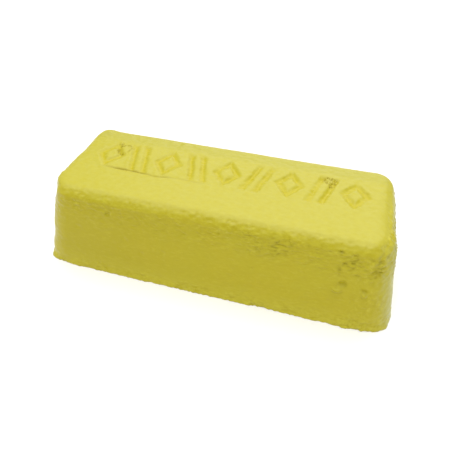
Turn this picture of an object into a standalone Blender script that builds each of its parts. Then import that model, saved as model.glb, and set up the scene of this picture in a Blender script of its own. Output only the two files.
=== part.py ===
"""A cast bar of polishing compound: one solid block, poured into an open mould.

The mould gives it leaning walls, rounded corners and a row of sunk marks along its top.
The pour face is the flat base, with a thin lip of flash round its edge.
Metres, +Z up, +X along the bar. The origin is at the centre of the base.
"""

import math

import bmesh
import bpy
from mathutils import Matrix, Vector

# The block
LENGTH = 0.203
WIDTH = 0.082
HEIGHT = 0.052
END_DRAFT = 0.0107  # how far each end wall leans in on its way up
SIDE_DRAFT = 0.0095  # the same for each long wall
CORNER_RADIUS = 0.0125
TOP_EDGE_RADIUS = 0.0055
CORNER_STEPS = 8
TOP_EDGE_STEPS = 6

# The lip of flash round the base
LIP_HEIGHT = 0.0012
LIP_PROUD = 0.0006

# The sunk marks: lozenge rings, with a pair of slanted bars between each two
LOZENGE_COUNT = 5
LOZENGE_PITCH = 0.0352
MARK_CENTRE_Y = 0.0055
MARK_HEIGHT = 0.023
MARK_DEPTH = 0.0011
MARK_DRAFT = 0.0004  # how far each wall of a mark leans in on its way down
LOZENGE_WIDTH = 0.0172
STROKE = 0.0036
BAR_SPACING = 0.0072
BAR_SLANT = 0.28  # sideways lean of a slanted bar, per unit of its height
CUT_OVERRUN = 0.001  # how far the cutters rise above the top face

# The compound
COMPOUND_COLOUR = (0.62, 0.54, 0.07, 1.0)
COMPOUND_ROUGHNESS = 0.6
SHARP_ANGLE = math.radians(30)  # steeper folds than this are shaded as edges

COLLECTION_NAME = "compound_bar"
CUTTER_COLLECTION_NAME = "cutters"


def clear_scene():
    for old in list(bpy.data.objects):
        bpy.data.objects.remove(old)


def new_collection(name):
    collection = bpy.data.collections.new(name)
    bpy.context.scene.collection.children.link(collection)
    return collection


def new_object(name, bm, collection):
    """Turns a bmesh into an object of that name, in that collection."""
    bmesh.ops.recalc_face_normals(bm, faces=bm.faces)
    mesh = bpy.data.meshes.new(name)
    bm.to_mesh(mesh)
    bm.free()
    obj = bpy.data.objects.new(name, mesh)
    collection.objects.link(obj)
    return obj


def compound_material():
    material = bpy.data.materials.new("compound")
    material.use_nodes = True
    shader = material.node_tree.nodes["Principled BSDF"]
    shader.inputs["Base Color"].default_value = COMPOUND_COLOUR
    shader.inputs["Roughness"].default_value = COMPOUND_ROUGHNESS
    shader.inputs["Metallic"].default_value = 0.0
    return material


def add_tapered_box(bm, centre, low_size, high_size, slant=0.0):
    """Adds a box whose foot and top have their own (x, y) sizes.

    centre is its middle and height, as (x, y, low z, high z), and slant leans it along X as Y grows.
    """
    x, y, low_z, high_z = centre
    for corner in bmesh.ops.create_cube(bm, size=1.0)["verts"]:
        high = corner.co.z > 0
        size = high_size if high else low_size
        across = corner.co.x * size[0]
        along = corner.co.y * size[1]
        corner.co = Vector((x + across + slant * along, y + along, high_z if high else low_z))


def add_lozenge(bm, centre_x, low_size, high_size):
    """Adds a four-sided frustum with its corners on X and Y, reaching down into the top face."""
    floor = HEIGHT - MARK_DEPTH
    roof = HEIGHT + CUT_OVERRUN
    placing = Matrix.Translation((centre_x, MARK_CENTRE_Y, (floor + roof) / 2))
    cone = bmesh.ops.create_cone(
        bm, cap_ends=True, segments=4, radius1=0.5, radius2=0.5, depth=roof - floor, matrix=placing
    )
    for corner in cone["verts"]:
        size = high_size if corner.co.z > HEIGHT else low_size
        corner.co.x = centre_x + (corner.co.x - centre_x) * size[0]
        corner.co.y = MARK_CENTRE_Y + (corner.co.y - MARK_CENTRE_Y) * size[1]


def upright_edges(bm):
    """The four edges that run from the foot of a box to its top."""
    return [e for e in bm.edges if abs(e.verts[0].co.z - e.verts[1].co.z) > LIP_HEIGHT / 2]


def round_edges(bm, edges, radius, steps):
    bmesh.ops.bevel(
        bm, geom=edges, offset=radius, offset_type="OFFSET", segments=steps, profile=0.5, affect="EDGES"
    )


def block_mesh():
    """The leaning walls, upright corners and rounded top edge. Its foot is buried in the lip."""
    foot = (LENGTH - 2 * LIP_PROUD, WIDTH - 2 * LIP_PROUD)
    top = (LENGTH - 2 * END_DRAFT, WIDTH - 2 * SIDE_DRAFT)
    bm = bmesh.new()
    add_tapered_box(bm, (0, 0, LIP_HEIGHT / 2, HEIGHT), foot, top)
    round_edges(bm, upright_edges(bm), CORNER_RADIUS, CORNER_STEPS)
    top_edges = [e for e in bm.edges if min(v.co.z for v in e.verts) > HEIGHT - LIP_HEIGHT]
    round_edges(bm, top_edges, TOP_EDGE_RADIUS, TOP_EDGE_STEPS)
    return bm


def lip_mesh():
    """The thin slab of flash that the wall stands on, which is also the base."""
    bm = bmesh.new()
    add_tapered_box(bm, (0, 0, 0, LIP_HEIGHT), (LENGTH, WIDTH), (LENGTH, WIDTH))
    round_edges(bm, upright_edges(bm), CORNER_RADIUS, CORNER_STEPS)
    return bm


def lozenge_centres():
    middle = (LOZENGE_COUNT - 1) / 2
    return [(i - middle) * LOZENGE_PITCH for i in range(LOZENGE_COUNT)]


def recess_mesh():
    """What the marks remove: a whole lozenge for each ring, and the slanted bars, which mirror about X = 0."""
    bm = bmesh.new()
    wall_run = 2 * MARK_DRAFT * (1 + CUT_OVERRUN / MARK_DEPTH)
    floor_size = (LOZENGE_WIDTH - 2 * MARK_DRAFT, MARK_HEIGHT - 2 * MARK_DRAFT)
    roof_size = tuple(side + wall_run for side in floor_size)
    for x in lozenge_centres():
        add_lozenge(bm, x, floor_size, roof_size)
    bar_floor = (STROKE - 2 * MARK_DRAFT, MARK_HEIGHT - 2 * MARK_DRAFT)
    bar_roof = tuple(side + wall_run for side in bar_floor)
    for left, right in zip(lozenge_centres(), lozenge_centres()[1:]):
        middle = (left + right) / 2
        for side in (-1, 1):
            span = (middle + side * BAR_SPACING / 2, MARK_CENTRE_Y, HEIGHT - MARK_DEPTH, HEIGHT + CUT_OVERRUN)
            add_tapered_box(bm, span, bar_floor, bar_roof, math.copysign(BAR_SLANT, middle))
    return bm


def island_mesh():
    """What is left standing inside each lozenge ring, kept out of the recess."""
    bm = bmesh.new()
    # A slanting stroke is narrower than its reach along X or Y, so the island shrinks by the longer reach.
    half_angle = math.atan2(LOZENGE_WIDTH, MARK_HEIGHT)
    shrink_x = 2 * STROKE / math.cos(half_angle)
    shrink_y = 2 * STROKE / math.sin(half_angle)
    high_size = (LOZENGE_WIDTH - shrink_x, MARK_HEIGHT - shrink_y)
    low_size = tuple(side + 2 * MARK_DRAFT for side in high_size)
    for x in lozenge_centres():
        add_lozenge(bm, x, low_size, high_size)
    # The islands run past the recess both ways, so that no two faces coincide.
    for corner in bm.verts:
        corner.co.z += math.copysign(CUT_OVERRUN, corner.co.z - HEIGHT)
    return bm


def helper(name, bm, collection):
    """A cutter or a piece to be joined: drawn as a wire, and not a part itself."""
    obj = new_object(name, bm, collection)
    obj.hide_render = True
    obj.display_type = "WIRE"
    return obj


def add_boolean(obj, other, operation):
    modifier = obj.modifiers.new(f"{operation.lower()}_{other.name}", "BOOLEAN")
    modifier.operation = operation
    modifier.solver = "EXACT"
    modifier.object = other


def build():
    clear_scene()
    collection = new_collection(COLLECTION_NAME)
    cutters = new_collection(CUTTER_COLLECTION_NAME)
    bar = new_object("compound_bar", block_mesh(), collection)
    lip = helper("lip_of_flash", lip_mesh(), cutters)
    recess = helper("recess", recess_mesh(), cutters)
    island = helper("island", island_mesh(), cutters)
    add_boolean(recess, island, "DIFFERENCE")
    add_boolean(bar, lip, "UNION")
    add_boolean(bar, recess, "DIFFERENCE")
    bar.data.materials.append(compound_material())
    bar.data.shade_smooth()
    bar.data.set_sharp_from_angle(angle=SHARP_ANGLE)


build()
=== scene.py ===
"""The looks of a cast bar of polishing compound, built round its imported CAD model.

One sculpted skin stands for the CAD block. It keeps the block's size and its row of sunk marks, and adds
what casting leaves: wrinkles, pits, crumbled spots, an uneven crest, and ragged flash round the foot.
The skin is worked out in millimetres and scaled once, when its mesh is made. The scene is in metres, +Z up.
"""

import math
import random
from types import SimpleNamespace

import bpy
import numpy as np
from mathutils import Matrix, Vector, noise


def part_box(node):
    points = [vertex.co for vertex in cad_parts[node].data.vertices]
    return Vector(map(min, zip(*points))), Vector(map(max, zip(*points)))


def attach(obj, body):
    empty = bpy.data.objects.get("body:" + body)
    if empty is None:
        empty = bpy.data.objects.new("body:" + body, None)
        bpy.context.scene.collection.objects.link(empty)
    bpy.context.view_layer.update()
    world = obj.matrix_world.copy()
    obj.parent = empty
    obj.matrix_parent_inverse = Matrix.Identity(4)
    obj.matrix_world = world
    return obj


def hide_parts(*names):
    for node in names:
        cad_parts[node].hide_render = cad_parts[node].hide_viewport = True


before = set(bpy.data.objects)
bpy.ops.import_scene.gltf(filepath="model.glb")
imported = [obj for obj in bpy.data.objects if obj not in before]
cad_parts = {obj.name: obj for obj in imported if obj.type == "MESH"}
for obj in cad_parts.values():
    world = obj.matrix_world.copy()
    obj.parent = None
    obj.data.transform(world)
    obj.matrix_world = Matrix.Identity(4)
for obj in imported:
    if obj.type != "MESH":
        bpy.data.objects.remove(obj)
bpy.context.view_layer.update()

MM = 0.001
BAR_NODE = "compound_bar"

# The block, in millimetres. Its size comes from the CAD node.
block_low, block_high = (np.array(corner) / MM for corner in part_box(BAR_NODE))
HALF_LENGTH = block_high[0]
HALF_WIDTH = block_high[1]
HEIGHT = block_high[2]
END_DRAFT = 10.7
SIDE_DRAFT = 9.5
CORNER_RADIUS = 12.5
TOP_EDGE_RADIUS = 6.5
LIP_HEIGHT = 1.2
LIP_PROUD = 0.6

# The sunk marks, as the CAD node has them
LOZENGE_COUNT = 5
LOZENGE_PITCH = 35.2
MARK_CENTRE_Y = 5.5
MARK_HEIGHT = 23.0
MARK_DEPTH = 1.1
LOZENGE_WIDTH = 17.2
STROKE = 3.6
BAR_SPACING = 7.2
BAR_SLANT = 0.28

# The lattice that the skin is made of
CELLS_X = 280
CELLS_Y = 96
CORNER_SHARE_X = 0.085  # the share of CELLS_X that the two corners take
CORNER_SHARE_Y = 0.24
WALL_BANDS = ((0.0, 2.4, 6), (2.4, 8.0, 8), (8.0, 34.0, 30), (34.0, None, 22))  # from z, to z, rows
TOP_EDGE_ROWS = 13
BASE_INSET = 2.5

SEED = 11


# ---------------------------------------------------------------- the lattice


def smoothstep(low, high, value):
    share = np.clip((value - low) / (high - low), 0.0, 1.0)
    return share * share * (3.0 - 2.0 * share)


def lattice_xy(u, v, half_x, half_y, radius):
    """Lays lattice places u and v, each -1 to 1, on a rectangle with round corners."""
    straight_u = 1.0 - CORNER_SHARE_X
    straight_v = 1.0 - CORNER_SHARE_Y
    s = np.clip((np.abs(u) - straight_u) / CORNER_SHARE_X, 0.0, 1.0)
    t = np.clip((np.abs(v) - straight_v) / CORNER_SHARE_Y, 0.0, 1.0)
    flat_x = np.minimum(np.abs(u) / straight_u, 1.0) * (half_x - radius)
    flat_y = np.minimum(np.abs(v) / straight_v, 1.0) * (half_y - radius)
    x = np.sign(u) * (flat_x + radius * s * np.sqrt(1.0 - t * t / 2.0))
    y = np.sign(v) * (flat_y + radius * t * np.sqrt(1.0 - s * s / 2.0))
    return x, y


def ring_places(cells_x, cells_y):
    """The lattice's border as (column, row) pairs, anticlockwise from its low corner."""
    places = [(i, 0) for i in range(cells_x)]
    places += [(cells_x, j) for j in range(cells_y)]
    places += [(i, cells_y) for i in range(cells_x, 0, -1)]
    places += [(0, j) for j in range(cells_y, 0, -1)]
    return np.array(places)


def wall_rows():
    """For each row from the base to the top face: its height, half sizes and corner radius."""
    arc_centre_z = HEIGHT - TOP_EDGE_RADIUS
    lean_x = math.atan(END_DRAFT / HEIGHT)
    lean_y = math.atan(SIDE_DRAFT / HEIGHT)
    lean = (lean_x + lean_y) / 2
    arc_start_z = arc_centre_z + TOP_EDGE_RADIUS * math.sin(lean)
    heights = [0.0]
    for low, high, rows in WALL_BANDS:
        heights += list(np.linspace(low, high or arc_start_z, rows + 1)[1:])
    turns = np.linspace(lean, math.pi / 2, TOP_EDGE_ROWS + 1)[1:]
    heights += list(arc_centre_z + TOP_EDGE_RADIUS * np.sin(turns))
    rows = []
    for z in heights:
        rise = min(max((z - arc_centre_z) / TOP_EDGE_RADIUS, 0.0), 1.0)
        arc = TOP_EDGE_RADIUS * math.sqrt(1.0 - rise * rise)
        lip = LIP_PROUD * (1.0 - float(smoothstep(0.3 * LIP_HEIGHT, 4.0 * LIP_HEIGHT, z)))
        halves = []
        for foot, draft, tilt in ((HALF_LENGTH, END_DRAFT, lean_x), (HALF_WIDTH, SIDE_DRAFT, lean_y)):
            wall = foot - LIP_PROUD - (draft - LIP_PROUD) * z / HEIGHT
            tangent_z = arc_centre_z + TOP_EDGE_RADIUS * math.sin(tilt)
            tangent = foot - LIP_PROUD - (draft - LIP_PROUD) * tangent_z / HEIGHT
            arc_centre = tangent - TOP_EDGE_RADIUS * math.cos(tilt)
            halves.append(wall + lip if z < tangent_z else arc_centre + arc)
        inset = TOP_EDGE_RADIUS - arc if z > arc_start_z else 0.0
        rows.append((z, halves[0], halves[1], CORNER_RADIUS - inset))
    return rows


def cap_ids(ring_ids, cells_x, cells_y, first_new):
    """Vertex numbers of a whole cap: the ring's round its border, new ones inside."""
    ids = np.zeros((cells_y + 1, cells_x + 1), int)
    for number, (i, j) in zip(ring_ids, ring_places(cells_x, cells_y)):
        ids[j, i] = number
    inner = np.arange((cells_x - 1) * (cells_y - 1)).reshape(cells_y - 1, cells_x - 1)
    ids[1:-1, 1:-1] = first_new + inner
    return ids


def cap_places(cells_x, cells_y):
    """The lattice places, -1 to 1, of a cap's inner points, row by row."""
    u = np.linspace(-1, 1, cells_x + 1)[1:-1]
    v = np.linspace(-1, 1, cells_y + 1)[1:-1]
    grid_u, grid_v = np.meshgrid(u, v)
    return grid_u.ravel(), grid_v.ravel()


def quads_of(ids):
    """The faces of a block of vertex numbers, anticlockwise when columns run along X and rows along Y."""
    return np.stack([ids[:-1, :-1], ids[:-1, 1:], ids[1:, 1:], ids[1:, :-1]], -1).reshape(-1, 4)


def smooth_block():
    """The plain block: its points in millimetres, its four-sided faces and its triangles."""
    places = ring_places(CELLS_X, CELLS_Y)
    ring_u = places[:, 0] / CELLS_X * 2.0 - 1.0
    ring_v = places[:, 1] / CELLS_Y * 2.0 - 1.0
    ring_size = len(places)
    rows = wall_rows()
    points = []
    for z, half_x, half_y, radius in rows:
        x, y = lattice_xy(ring_u, ring_v, half_x, half_y, radius)
        points.append(np.stack([x, y, np.full(ring_size, z)], -1))
    ids = np.arange(len(rows) * ring_size).reshape(len(rows), ring_size)
    closed = np.concatenate([ids, ids[:, :1]], 1)
    quads = [quads_of(closed)]

    # The top face shares the last row's ring.
    top_z, half_x, half_y, radius = rows[-1]
    x, y = lattice_xy(*cap_places(CELLS_X, CELLS_Y), half_x, half_y, radius)
    points.append(np.stack([x, y, np.full(len(x), top_z)], -1))
    quads.append(quads_of(cap_ids(ids[-1], CELLS_X, CELLS_Y, ids.size)))
    count = ids.size + len(x)

    # The base has half as many cells each way, inside a strip of triangles.
    half_cells = (CELLS_X // 2, CELLS_Y // 2)
    inner = (HALF_LENGTH - BASE_INSET, HALF_WIDTH - BASE_INSET, CORNER_RADIUS - BASE_INSET)
    x, y = lattice_xy(ring_u[::2], ring_v[::2], *inner)
    points.append(np.stack([x, y, np.zeros(len(x))], -1))
    inner_ring = count + np.arange(len(x))
    count += len(x)
    x, y = lattice_xy(*cap_places(*half_cells), *inner)
    points.append(np.stack([x, y, np.zeros(len(x))], -1))
    quads.append(quads_of(cap_ids(inner_ring, *half_cells, count))[:, ::-1])
    outer_here = ids[0, 0::2]
    outer_middle = ids[0, 1::2]
    outer_next = np.roll(outer_here, -1)
    inner_next = np.roll(inner_ring, -1)
    triangles = np.concatenate([
        np.stack([outer_here, inner_ring, outer_middle], -1),
        np.stack([outer_middle, inner_ring, inner_next], -1),
        np.stack([outer_middle, inner_next, outer_next], -1),
    ])
    return np.concatenate(points), np.concatenate(quads), triangles


def vertex_normals(points, quads, triangles):
    """Unit normals at the points, each the mean of its faces' unit normals."""
    normals = np.zeros_like(points)
    for faces in (quads, triangles):
        corners = [points[column] for column in faces.T]
        if len(corners) == 4:
            face_normal = np.cross(corners[2] - corners[0], corners[3] - corners[1])
        else:
            face_normal = np.cross(corners[1] - corners[0], corners[2] - corners[0])
        face_normal /= np.linalg.norm(face_normal, axis=1, keepdims=True)
        for column in faces.T:
            np.add.at(normals, column, face_normal)
    return normals / np.linalg.norm(normals, axis=1, keepdims=True)


# ---------------------------------------------------------------- what casting leaves


def lumps(points, size, seed, octaves=2, stretch=(1.0, 1.0, 1.0)):
    """Smooth noise of about -1 to 1, whose widest lumps are about size millimetres, longer by stretch."""
    scaled = points / (size * np.array(stretch)) + np.array([3.1, 7.7, 5.3]) * (SEED + seed)
    return np.array([noise.fractal(Vector(p), 1.0, 2.0, octaves) for p in scaled])


def creases(field, width):
    """1 along the lines where a noise field changes sign, falling to 0 either side."""
    return np.exp(-(field / width) ** 2)


def bowl(distance, radius, rim=0.12):
    """A round pit's shape: -1 at its middle, and a low rim just outside its edge."""
    inside = np.clip(1.0 - (distance / radius) ** 2, 0.0, 1.0) ** 1.5
    edge = np.exp(-((distance - 1.15 * radius) / (0.3 * radius)) ** 2)
    return rim * edge - inside


# Pits and dents (or knobs, where depth is below 0) that stand out on the wall nearer -Y:
# x, z, radius, depth, stretch along X
FRONT_DENTS = (
    (67.4, 46.8, 1.0, 1.0, 1.6),
    (74.0, 46.2, 1.0, 1.0, 1.6),
    (71.6, 27.8, 2.5, 1.7, 1.1),
    (69.4, 23.6, 1.7, -1.5, 1.9),
    (82.4, 26.4, 1.6, 0.9, 1.4),
    (82.6, 23.8, 1.5, -1.4, 1.4),
    (-56.0, 41.0, 1.0, 0.9, 2.2),
    (25.3, 26.0, 1.2, 0.6, 1.0),
    (22.4, 36.0, 1.1, 0.6, 1.5),
    (50.3, 46.8, 0.9, 0.8, 2.2),
    (44.6, 46.0, 0.9, 0.6, 2.2),
    (1.0, 49.4, 0.9, 0.5, 3.0),
    (-75.4, 28.9, 1.8, 0.4, 1.6),
    (-46.9, 26.7, 2.2, 0.4, 1.0),
    (-37.6, 19.1, 1.8, 0.4, 1.0),
    (-24.7, 23.1, 1.8, 0.4, 1.2),
    (81.0, 5.3, 1.6, 0.6, 1.4),
)
RANDOM_PITS = 110
# Crumbled spots on the top face: x, y, half length, half width, depth, how whole the middle stays (0 to 1)
TORN_SPOTS = (
    (-65.0, 11.2, 4.6, 6.4, 0.6, 1.0),
    (56.6, 13.0, 4.1, 4.6, 0.6, 0.35),
)
# Slow swellings (or hollows, below 0) of the whole skin: x, y, z, reach, amount along the normal
SWELLS = (
    (-85.0, 28.0, 51.0, 5.0, 1.1),
    (-90.0, 20.0, 51.0, 6.0, -0.5),
    (-90.0, 9.0, 50.0, 8.0, -0.7),
    (-90.0, -16.0, 50.0, 6.0, 0.1),
    (-90.0, -26.0, 49.0, 5.0, -0.3),
    (-90.0, -18.5, 50.5, 3.0, 0.4),
    (-91.0, -26.0, 46.0, 4.0, -0.9),
    (-98.0, -32.0, 26.0, 11.0, 0.6),
    (-99.0, -35.0, 9.0, 6.0, 1.2),
    (-89.5, -41.0, 0.5, 4.0, -1.05),
    (84.0, 29.0, 51.0, 6.0, 0.3),
    (92.0, 22.0, 47.0, 7.0, -0.6),
    (92.0, 8.0, 47.0, 12.0, 0.3),
    (92.0, -17.0, 47.0, 6.0, 0.5),
    (95.0, -22.0, 41.0, 12.0, 0.5),
    (98.0, -28.0, 16.0, 12.0, 0.5),
    (91.5, -40.5, 0.0, 6.5, -0.75),
    (101.0, -31.0, 0.0, 4.0, -0.5),
)
# The same for the flash round the foot alone, which it pushes out level: x, y, reach, amount
FLASH_SWELLS = (
    (-99.0, -37.2, 2.8, 1.0),
    (-69.0, -41.0, 5.0, -0.4),
    (34.0, -41.0, 9.0, -0.6),
)
# The crest over the right end wall is rounder than the arc: the line it is worn along, how wide and how deep
RIGHT_CREST_X = 88.8
RIGHT_CREST_Z = 50.9
RIGHT_CREST_REACH = 4.4
RIGHT_CREST_LOSS = 1.5
# The top edge stands a little proud of its arc, and in front a little inside it. It is strongest where
# the plain block's normal has this height, and fades over this spread.
EDGE_FULLNESS = 0.25
FRONT_EDGE_LOSS = 0.52
EDGE_NORMAL_Z = 0.68
EDGE_SPREAD = 0.26
# The crack below the marks, which jogs 1 mm towards -Y at one place, and the shallow step behind it
CRACK_Y = -6.7
CRACK_JOG_X = -37.0
CRACK_WIDTH = 0.65
CRACK_DEPTH = 0.85
STEP_DEPTH = 0.16
# Relief of the walls and of the marks. A wrinkle's width is in units of the noise it follows.
WRINKLE_WIDTH = 0.12
UPPER_WRINKLE_DEPTH = 0.26  # on top of the lower one
LOWER_WRINKLE_DEPTH = 0.07
GRAIN_RELIEF = 0.50
MARK_CRUMBS = 0.34
MARK_SWELLING = 0.10


def lozenge_centres():
    middle = (LOZENGE_COUNT - 1) / 2
    return [(i - middle) * LOZENGE_PITCH for i in range(LOZENGE_COUNT)]


def mark_distance(x, y):
    """How far each place on the top face lies from the nearest mark's outline, negative inside a stroke."""
    nearest = np.full(len(x), 1e3)
    half_x = LOZENGE_WIDTH / 2
    half_y = MARK_HEIGHT / 2
    reach = half_x * half_y / math.hypot(half_x, half_y)
    for centre in lozenge_centres():
        across = np.abs(x - centre)
        along = np.abs(y - MARK_CENTRE_Y)
        outside = (across / half_x + along / half_y - 1.0) * reach
        nearest = np.minimum(nearest, np.abs(outside + STROKE / 2) - STROKE / 2)
    for left, right in zip(lozenge_centres(), lozenge_centres()[1:]):
        middle = (left + right) / 2
        slant = math.copysign(BAR_SLANT, middle)
        for side in (-1, 1):
            along = y - MARK_CENTRE_Y
            across = np.abs(x - middle - side * BAR_SPACING / 2 - slant * along)
            beside = (across - STROKE / 2) / math.hypot(1.0, slant)
            beyond = np.abs(along) - half_y
            nearest = np.minimum(nearest, np.maximum(beside, beyond))
    return nearest


def regions(points, normals):
    """Shares from 0 to 1 that say which part of the block each point is on."""
    x, y, z = points.T
    at = SimpleNamespace()
    at.top = smoothstep(0.8, 0.98, normals[:, 2])
    at.base = smoothstep(0.8, 0.98, -normals[:, 2])
    at.wall = 1.0 - np.maximum(at.top, at.base)
    at.front = smoothstep(0.1, 0.5, -normals[:, 1])
    at.end = np.maximum(smoothstep(72.0, 84.0, x), 0.5 * smoothstep(80.0, 92.0, -x))
    at.lip = 1.0 - smoothstep(LIP_HEIGHT, 2.6 * LIP_HEIGHT, z)
    at.foot = 1.0 - smoothstep(3.0, 8.0, z)
    at.upper = smoothstep(28.0, 42.0, z)
    at.crest = smoothstep(HEIGHT - 6.5, HEIGHT - 3.5, z) * (1.0 - smoothstep(0.97, 0.999, normals[:, 2]))
    at.flat = smoothstep(HEIGHT - 0.5, HEIGHT - 0.05, z) * at.top
    at.rear = smoothstep(17.0, 22.0, y)
    # 1 wherever the relief has its full depth. It falls along the crest towards the back.
    at.lively = 1.0 - 0.75 * at.crest * smoothstep(-20.0, 20.0, y)
    return at


def unevenness(points, normals, at):
    """Slow swellings and hollows of the whole casting, and the shape of its crest and its flash."""
    x, y, z = points.T
    waves = 0.22 * lumps(points, 48.0, 1) * (1.0 - 0.5 * at.top) + 0.10 * lumps(points, 17.0, 2)
    out = smoothstep(0.0, 3.0, z) * waves
    for cx, cy, cz, reach, amount in SWELLS:
        distance = np.linalg.norm(points - np.array([cx, cy, cz]), axis=1)
        out += amount * np.exp(-(distance / reach) ** 2)
    for cx, cy, reach, amount in FLASH_SWELLS:
        out += amount * at.lip * np.exp(-((x - cx) ** 2 + (y - cy) ** 2) / reach ** 2)
    distance = np.hypot(x - RIGHT_CREST_X, z - RIGHT_CREST_Z)
    worn = np.exp(-(distance / RIGHT_CREST_REACH) ** 2) * (1.0 - smoothstep(6.0, 28.0, y))
    out -= RIGHT_CREST_LOSS * worn
    fullness = EDGE_FULLNESS - FRONT_EDGE_LOSS * at.front
    out += fullness * np.exp(-((normals[:, 2] - EDGE_NORMAL_Z) / EDGE_SPREAD) ** 2)
    return out


def wrinkles(points, at):
    """Level wrinkles, close together near the top, where the melt chilled against the mould.

    Returns their relief and their share.
    """
    warp = 1.6 * lumps(points, 22.0, 3, 1)
    warped = points + np.outer(warp, (0.0, 0.0, 1.0))
    level = creases(lumps(warped, 1.9, 4, 2, (3.4, 1.2, 1.0)), WRINKLE_WIDTH)
    patchy = 0.25 + smoothstep(-0.15, 0.5, lumps(points, 13.0, 5))
    rightward = smoothstep(-30.0, 50.0, points[:, 0])
    coarse = (0.84 + 1.1 * rightward * (1.0 - 0.75 * at.crest)) * at.lively
    ridges = (0.22 * at.upper * (1.0 - 0.5 * at.crest) + 0.11) * lumps(points, 1.7, 6, 2, (2.2, 1.0, 1.0))
    waves = 0.12 * at.upper * lumps(points, 5.0, 24, 2, (2.0, 1.0, 1.0))
    cuts = level * (UPPER_WRINKLE_DEPTH * at.upper + LOWER_WRINKLE_DEPTH) * patchy
    out = at.wall * ((ridges - cuts) * coarse + waves * at.lively)
    return out, at.wall * level * np.clip(patchy, 0.0, 1.0) * (0.35 + 0.65 * at.upper)


def grain(points, at):
    """Small lumps, stronger near the top, at the ends and at the foot.

    Returns their relief and how rough each point is.
    """
    rough = np.clip(0.15 + 0.45 * at.upper + 0.4 * at.end + 0.8 * at.foot + 0.1 * at.crest, 0.0, 1.0)
    rough *= at.wall * at.lively * (0.35 + 0.85 * smoothstep(-0.4, 0.5, lumps(points, 9.0, 7)))
    out = GRAIN_RELIEF * rough * (1.0 - 0.7 * at.crest) * lumps(points, 1.7, 8, 2)
    out += at.crest * at.lively * (0.05 * lumps(points, 9.0, 9, 2) + 0.21 * lumps(points, 1.5, 10, 2))
    return out, rough


def pits(points, at, rough):
    """The dents listed for the front wall, and pits scattered over all four walls."""
    x, y, z = points.T
    out = np.zeros(len(points))
    on_front = (y < 0) & (at.wall > 0.2)
    for cx, cz, radius, depth, stretch in FRONT_DENTS:
        distance = np.hypot((x - cx) / stretch, z - cz)
        out += np.where(on_front, depth * bowl(distance, radius), 0.0)
    draw = random.Random(SEED)
    on_walls = np.flatnonzero((at.wall > 0.5) & (z > 3.0))
    for _ in range(RANDOM_PITS):
        chosen = on_walls[draw.randrange(len(on_walls))]
        radius = draw.uniform(0.7, 0.9 + 0.8 * draw.random())
        depth = radius * draw.uniform(0.1, 0.2 + 0.4 * rough[chosen])
        offset = points - points[chosen]
        distance = np.sqrt((offset[:, 0] ** 2 + offset[:, 1] ** 2) / 1.8 + offset[:, 2] ** 2)
        out += at.wall * depth * bowl(distance, radius)
    return out


def sunk_marks(points, at):
    """The marks, with soft walls, uneven depth, crumbs in the strokes and a slight swelling beside each.

    Returns their relief and their share.
    """
    distance = mark_distance(points[:, 0], points[:, 1])
    distance += 0.5 * lumps(points, 3.8, 12) + 0.35 * lumps(points, 1.4, 25)
    deeper = smoothstep(-0.6, 0.5, lumps(points, 11.0, 13))
    mark = at.flat * (1.0 - smoothstep(-1.7, 0.7, distance))
    out = mark * (MARK_CRUMBS * lumps(points, 1.5, 14) - MARK_DEPTH * (0.5 + 0.55 * deeper))
    out += MARK_SWELLING * at.flat * np.exp(-((distance - 1.3) / 0.9) ** 2)
    return out, mark


def top_skin(points, at):
    """A crack with a shallow step behind it, and mottling that is strongest along the back.

    Returns their relief and the crack's share.
    """
    x, y, _ = points.T
    along = smoothstep(-76.0, -58.0, x) * (1.0 - 0.8 * smoothstep(-34.0, -28.0, x))
    along *= 1.0 - smoothstep(-14.0, -4.0, x)
    along *= 0.55 + 0.6 * smoothstep(-0.2, 0.2, lumps(points, 18.0, 22, 1))
    jog = np.exp(-((x - CRACK_JOG_X) / 5.0) ** 2)
    line = y - CRACK_Y + jog + 0.5 * lumps(points, 8.0, 15)
    crack = at.flat * along * np.exp(-(line / CRACK_WIDTH) ** 2)
    step = at.flat * along * smoothstep(0.0, 0.8, line) * (1.0 - smoothstep(4.0, 12.0, line))
    band = smoothstep(-9.0, -5.0, y) * (1.0 - smoothstep(16.0, 20.0, y))
    mottling = (0.08 + 0.10 * band + 0.30 * at.rear) * lumps(points, 2.6, 16, 3, (1.5, 1.0, 1.0))
    return at.flat * mottling - CRACK_DEPTH * crack - STEP_DEPTH * step, crack


def torn_spots(points, at):
    """Crumbled spots, each narrower towards -Y. Returns their relief and their share."""
    x, y, _ = points.T
    out = np.zeros(len(points))
    torn = np.zeros(len(points))
    for cx, cy, half_x, half_y, depth, whole in TORN_SPOTS:
        across = (x - cx) / half_x
        along = (y - cy) / half_y
        shape = np.hypot(across * (1.0 - 0.55 * along), along) + 0.25 * lumps(points, 3.5, 17)
        rim = np.exp(-((shape - 0.75) / 0.20) ** 2) * (0.6 + 0.4 * smoothstep(0.4, -0.2, across))
        spot = at.flat * (1.0 - smoothstep(0.8, 1.0, shape)) * (1.0 - whole * (1.0 - rim))
        crumbs = 1.8 * depth * lumps(points, 1.3, 18, 2) - 0.3 * depth
        out += spot * np.minimum(crumbs, 0.2)
        torn = np.maximum(torn, spot)
    return out, torn


def ragged_flash(points, at):
    """How far the flash round the foot stands out unevenly."""
    wide = 0.34 * lumps(points, 9.0, 19, 2, (1.0, 1.0, 3.0))
    small = 0.30 * lumps(points, 2.6, 20, 2, (1.0, 1.0, 2.0))
    return at.lip * at.wall * (wide + small)


def base_hollow(points):
    """How far the base rises inside its edge, as if it shrank while it set."""
    x, y, _ = points.T
    edge_gap = np.minimum(HALF_LENGTH - np.abs(x), HALF_WIDTH - np.abs(y))
    inland = smoothstep(2.0, 22.0, edge_gap)
    return inland * (0.57 + 0.12 * lumps(points, 14.0, 21, 3))


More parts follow.
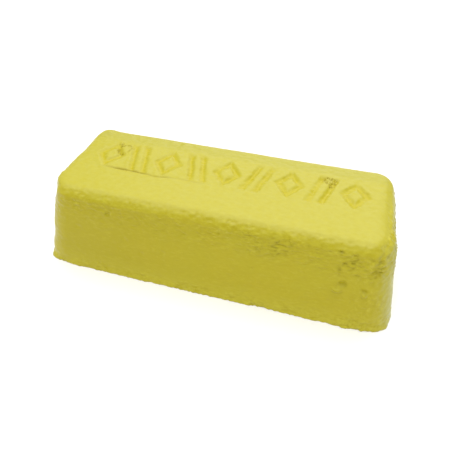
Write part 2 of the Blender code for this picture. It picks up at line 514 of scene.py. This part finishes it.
def sculpt(points, normals):
    """Moves the plain block's points. Returns them, and the shares from 0 to 1 that the material reads."""
    x, _, z = points.T
    at = regions(points, normals)
    wrinkle_relief, level = wrinkles(points, at)
    grain_relief, rough = grain(points, at)
    mark_relief, mark = sunk_marks(points, at)
    top_relief, crack = top_skin(points, at)
    torn_relief, torn = torn_spots(points, at)
    out = unevenness(points, normals, at) + wrinkle_relief + grain_relief + pits(points, at, rough)
    out += mark_relief + top_relief + torn_relief + ragged_flash(points, at)

    # Near the foot the skin moves level, and the base only moves up.
    sloping = 1.0 - (1.0 - smoothstep(0.0, 4.0, z)) * (1.0 - at.base)
    outward = normals.copy()
    outward[:, 2] *= sloping
    outward /= np.linalg.norm(outward, axis=1, keepdims=True)
    moved = points + outward * (out * (1.0 - at.base))[:, None]
    moved[:, 2] = np.maximum(moved[:, 2] + at.base * base_hollow(points), 0.0)
    shares = {
        "mark": mark,
        "torn": torn,
        "crack": crack,
        "rough": np.clip(rough, 0.0, 1.0),
        "end": at.end * at.wall,
        "rear": at.flat * at.rear,
        # painted light: the walls paler towards the foot
        "foot": at.wall * (1.0 - smoothstep(2.0, 15.0, z)),
        # painted shade: the front wall darker towards the left
        "deeper": at.wall * at.front * (1.0 - at.crest) * (1.0 - smoothstep(-80.0, 30.0, x)),
        "level": level,
    }
    return moved, shares


def make_skin(name):
    """Builds the sculpted skin as one object, with its shares as attributes of its vertices."""
    points, quads, triangles = smooth_block()
    moved, shares = sculpt(points, vertex_normals(points, quads, triangles))
    mesh = bpy.data.meshes.new(name)
    mesh.from_pydata((moved * MM).tolist(), [], quads.tolist() + triangles.tolist())
    mesh.validate()
    for share, values in shares.items():
        layer = mesh.attributes.new(share, "FLOAT", "POINT")
        layer.data.foreach_set("value", values.astype(np.float32))
    mesh.shade_smooth()
    obj = bpy.data.objects.new(name, mesh)
    bpy.context.scene.collection.objects.link(obj)
    return obj


# ---------------------------------------------------------------- the material


PLAIN_COLOUR = (0.500, 0.431, 0.007, 1.0)
WARM_COLOUR = (0.509, 0.427, 0.0052, 1.0)
# A dusting, with a painted sheen, on what faces up
DUST_AND_SHEEN_COLOUR = (0.513, 0.471, 0.068, 1.0)
# The torn spots' darker brown, darkened further into painted shade in their crevices
TORN_AND_SHADE_COLOUR = (0.261, 0.196, 0.0035, 1.0)
REAR_COLOUR = (0.461, 0.430, 0.07, 1.0)
# Painted shade, for the front's left side and for wrinkles and hollows
PAINTED_SHADE_COLOUR = (0.452, 0.374, 0.0043, 1.0)
# Scuffing, with painted light on what stands proud and towards the foot
SCUFF_AND_LIGHT_COLOUR = (0.609, 0.548, 0.043, 1.0)
# A grey painted sheen on the end walls
END_SHEEN_COLOUR = (0.500, 0.560, 0.260, 1.0)
SPECULAR_LEVEL = 0.27
SHEEN_WEIGHT = 0.5
SHEEN_ROUGHNESS = 0.18
LEAST_ROUGHNESS = 0.30
MOST_ROUGHNESS = 0.42
GRAIN_STRENGTH = 0.7
GRAIN_HEIGHT = 0.16 * MM


def feed(tree, socket, value):
    """Links another node's output to a socket, or sets the socket to a number or a colour."""
    if isinstance(value, bpy.types.NodeSocket):
        tree.links.new(value, socket)
    else:
        socket.default_value = value


def add_node(tree, kind, settings=None, **sockets):
    """Adds a node. A socket's value is a number, a colour or another node's output."""
    made = tree.nodes.new(kind)
    for key, value in (settings or {}).items():
        setattr(made, key, value)
    for key, value in sockets.items():
        feed(tree, made.inputs[key.replace("_", " ")], value)
    return made


def compound_material():
    """The waxy compound. The skin's shares say where it is torn, where painted shade darkens it, where it is
    scuffed and paler with painted light, and where the end walls take a painted sheen.
    """
    material = bpy.data.materials.new("compound_cast")
    material.use_nodes = True
    tree = material.node_tree
    shader = tree.nodes["Principled BSDF"]
    place = add_node(tree, "ShaderNodeTexCoord").outputs["Object"]
    per_mm = (1 / MM, 1 / MM, 1 / MM)
    in_mm = add_node(tree, "ShaderNodeMapping", Vector=place, Scale=per_mm).outputs["Vector"]

    def speckle(size, detail=3.0, rough=0.5, where=in_mm):
        """Noise whose widest specks are about size millimetres."""
        settings = {"Vector": where, "Scale": 1.0 / size, "Detail": detail, "Roughness": rough}
        return add_node(tree, "ShaderNodeTexNoise", **settings).outputs["Fac"]

    def share(value, low, high, to_low=0.0, to_high=1.0):
        """Maps low to high onto to_low to to_high, and holds what lies outside."""
        made = add_node(tree, "ShaderNodeMapRange", Value=value)
        for socket, number in zip(("From Min", "From Max", "To Min", "To Max"), (low, high, to_low, to_high)):
            made.inputs[socket].default_value = number
        return made.outputs["Result"]

    def attribute(name):
        return add_node(tree, "ShaderNodeAttribute", {"attribute_name": name}).outputs["Fac"]

    def mix_colour(factor, first, second):
        made = add_node(tree, "ShaderNodeMix", {"data_type": "RGBA"})
        for socket, value in zip((made.inputs[0], made.inputs[6], made.inputs[7]), (factor, first, second)):
            feed(tree, socket, value)
        return made.outputs[2]

    def combine(operation, first, second):
        made = add_node(tree, "ShaderNodeMath", {"operation": operation})
        for socket, value in zip(made.inputs, (first, second)):
            feed(tree, socket, value)
        return made.outputs[0]

    # The compound's own tone, a dusting and a painted sheen on what faces up (less of both in the marks), and
    # the greyer strip along the back of the top
    normal = add_node(tree, "ShaderNodeNewGeometry").outputs["Normal"]
    facing = add_node(tree, "ShaderNodeSeparateXYZ", Vector=normal).outputs
    colour = mix_colour(share(speckle(26.0, 4.0), 0.35, 0.65), PLAIN_COLOUR, WARM_COLOUR)
    patches = share(speckle(3.2, 4.0, 0.65), 0.3, 0.7, 0.6, 1.0)
    dust_and_sheen = combine("MULTIPLY", share(facing["Z"], 0.15, 1.05), patches)
    dust_and_sheen = combine("MULTIPLY", dust_and_sheen, share(attribute("mark"), 0.0, 1.0, 1.0, 0.25))
    colour = mix_colour(dust_and_sheen, colour, DUST_AND_SHEEN_COLOUR)
    colour = mix_colour(combine("MULTIPLY", attribute("rear"), 0.5), colour, REAR_COLOUR)

    # Painted shade in the crevices of the torn spots and along the crack, over the slightly darker brown of
    # the crumbled compound
    crevice_shade = combine("MULTIPLY", attribute("torn"), share(speckle(1.1, 2.0), 0.42, 0.54, 1.0, 0.0))
    crevice_shade = combine("MAXIMUM", crevice_shade, combine("MULTIPLY", attribute("crack"), 0.8))
    colour = mix_colour(crevice_shade, colour, TORN_AND_SHADE_COLOUR)

    # Painted shade darkens the front towards the left, painted light makes the foot paler, and the end walls
    # take a grey painted sheen.
    colour = mix_colour(combine("MULTIPLY", attribute("deeper"), 0.5), colour, PAINTED_SHADE_COLOUR)
    colour = mix_colour(combine("MULTIPLY", attribute("foot"), 0.35), colour, SCUFF_AND_LIGHT_COLOUR)
    endward = combine("MULTIPLY", facing["X"], facing["X"])
    painted_end_sheen = combine("MULTIPLY", attribute("end"), share(endward, 0.15, 0.85, 0.0, 0.36))
    colour = mix_colour(painted_end_sheen, colour, END_SHEEN_COLOUR)

    # Painted shade darkens the wrinkles and the hollows in the rough skin, and what stands proud is paler:
    # scuffed, and with a painted highlight.
    # The pattern is level dashes on the long walls and round specks at the ends.
    stretched = add_node(tree, "ShaderNodeMapping", Vector=in_mm, Scale=(0.4, 0.7, 1.0)).outputs["Vector"]
    dashes = speckle(1.3, 3.0, 0.6, stretched)
    dashes = combine("MULTIPLY", dashes, share(attribute("end"), 0.0, 0.5, 1.0, 0.0))
    specks = combine("MULTIPLY", speckle(2.0, 3.0, 0.6), share(attribute("end"), 0.0, 0.5))
    pattern = combine("ADD", dashes, specks)
    uneven = share(attribute("rough"), 0.0, 1.0, 0.2, 1.0)
    hollow_shade = combine("MULTIPLY", share(pattern, 0.5, 0.3), uneven)
    hollow_shade = combine("MAXIMUM", hollow_shade, combine("MULTIPLY", attribute("level"), 0.6))
    colour = mix_colour(hollow_shade, colour, PAINTED_SHADE_COLOUR)
    colour = mix_colour(combine("MULTIPLY", share(pattern, 0.52, 0.75), uneven), colour, SCUFF_AND_LIGHT_COLOUR)
    tree.links.new(colour, shader.inputs["Base Color"])

    # A waxy gloss, except in the crevices, which are matt
    shader.inputs["Specular IOR Level"].default_value = SPECULAR_LEVEL
    shader.inputs["Sheen Weight"].default_value = SHEEN_WEIGHT
    shader.inputs["Sheen Roughness"].default_value = SHEEN_ROUGHNESS
    waxy = share(speckle(6.0, 4.0), 0.3, 0.7, LEAST_ROUGHNESS, MOST_ROUGHNESS)
    tree.links.new(combine("MAXIMUM", waxy, crevice_shade), shader.inputs["Roughness"])

    # Fine grain on top of the sculpted shape, stronger where the skin is rough
    fine = combine("ADD", speckle(0.9, 3.0, 0.6), combine("MULTIPLY", pattern, 1.6))
    fine = combine("MULTIPLY", fine, share(attribute("rough"), 0.0, 1.0, 0.3, 1.0))
    height = combine("ADD", fine, combine("MULTIPLY", speckle(2.4, 2.0), 0.5))
    bump = add_node(tree, "ShaderNodeBump", Height=height, Strength=GRAIN_STRENGTH, Distance=GRAIN_HEIGHT)
    tree.links.new(bump.outputs["Normal"], shader.inputs["Normal"])
    return material


# ---------------------------------------------------------------- the stage

FLOOR_SIZE = 3.0
FLOOR_COLOUR = (0.97, 0.97, 0.97, 1.0)
FLOOR_ROUGHNESS = 0.9
WHITE = (1.0, 1.0, 1.0, 1.0)
AMBIENT_STRENGTH = 0.29
# Softboxes: place, size across and watts. Each faces the bar.
SOFTBOXES = (
    ("overhead", (-0.20, -0.30, 3.20), 4.80, 139.0),
    ("behind", (0.10, 3.40, 2.80), 4.80, 83.0),
)

CAMERA_LENS = 34.56
SENSOR_WIDTH = 36.0
CAMERA_TURN = math.radians(15.94)  # round the bar from -Y towards +X
CAMERA_RISE = math.radians(43.93)
CAMERA_AIM = Vector((0.0030, -0.00885, 0.02615))
CAMERA_DISTANCE = 0.2483
NEAR_CLIP = 0.01


def add_floor():
    mesh = bpy.data.meshes.new("floor")
    half = FLOOR_SIZE / 2
    corners = [(-half, -half, 0), (half, -half, 0), (half, half, 0), (-half, half, 0)]
    mesh.from_pydata(corners, [], [(0, 1, 2, 3)])
    floor = bpy.data.objects.new("floor", mesh)
    bpy.context.scene.collection.objects.link(floor)
    material = bpy.data.materials.new("floor")
    material.use_nodes = True
    shader = material.node_tree.nodes["Principled BSDF"]
    shader.inputs["Base Color"].default_value = FLOOR_COLOUR
    shader.inputs["Roughness"].default_value = FLOOR_ROUGHNESS
    mesh.materials.append(material)


def add_world():
    """Soft white light all round. The camera sees past the floor's edge to plain white."""
    world = bpy.data.worlds.new("studio")
    world.use_nodes = True
    tree = world.node_tree
    ambient = tree.nodes["Background"]
    ambient.inputs["Color"].default_value = WHITE
    ambient.inputs["Strength"].default_value = AMBIENT_STRENGTH
    backdrop = add_node(tree, "ShaderNodeBackground", Color=WHITE, Strength=1.0)
    seen = add_node(tree, "ShaderNodeLightPath").outputs["Is Camera Ray"]
    mix = add_node(tree, "ShaderNodeMixShader", Fac=seen)
    tree.links.new(ambient.outputs[0], mix.inputs[1])
    tree.links.new(backdrop.outputs[0], mix.inputs[2])
    tree.links.new(mix.outputs[0], tree.nodes["World Output"].inputs["Surface"])
    bpy.context.scene.world = world


def add_softbox(name, place, size, watts):
    lamp = bpy.data.lights.new(name, "AREA")
    lamp.shape = "DISK"
    lamp.size = size
    lamp.energy = watts
    softbox = bpy.data.objects.new(name, lamp)
    softbox.location = place
    softbox.rotation_euler = Vector(place).to_track_quat("Z", "Y").to_euler()
    softbox.visible_camera = False
    bpy.context.scene.collection.objects.link(softbox)


def add_camera():
    back = Vector((
        math.sin(CAMERA_TURN) * math.cos(CAMERA_RISE),
        -math.cos(CAMERA_TURN) * math.cos(CAMERA_RISE),
        math.sin(CAMERA_RISE),
    ))
    data = bpy.data.cameras.new("camera")
    data.lens = CAMERA_LENS
    data.sensor_width = SENSOR_WIDTH
    data.clip_start = NEAR_CLIP
    camera = bpy.data.objects.new("camera", data)
    camera.location = CAMERA_AIM + back * CAMERA_DISTANCE
    camera.rotation_euler = back.to_track_quat("Z", "Y").to_euler()
    bpy.context.scene.collection.objects.link(camera)
    bpy.context.scene.camera = camera


bpy.context.scene.view_settings.view_transform = "Standard"
add_floor()
add_world()
for softbox in SOFTBOXES:
    add_softbox(*softbox)
add_camera()

skin = make_skin("cast_bar_surface")
skin.data.materials.append(compound_material())
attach(skin, "root")
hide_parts(BAR_NODE)
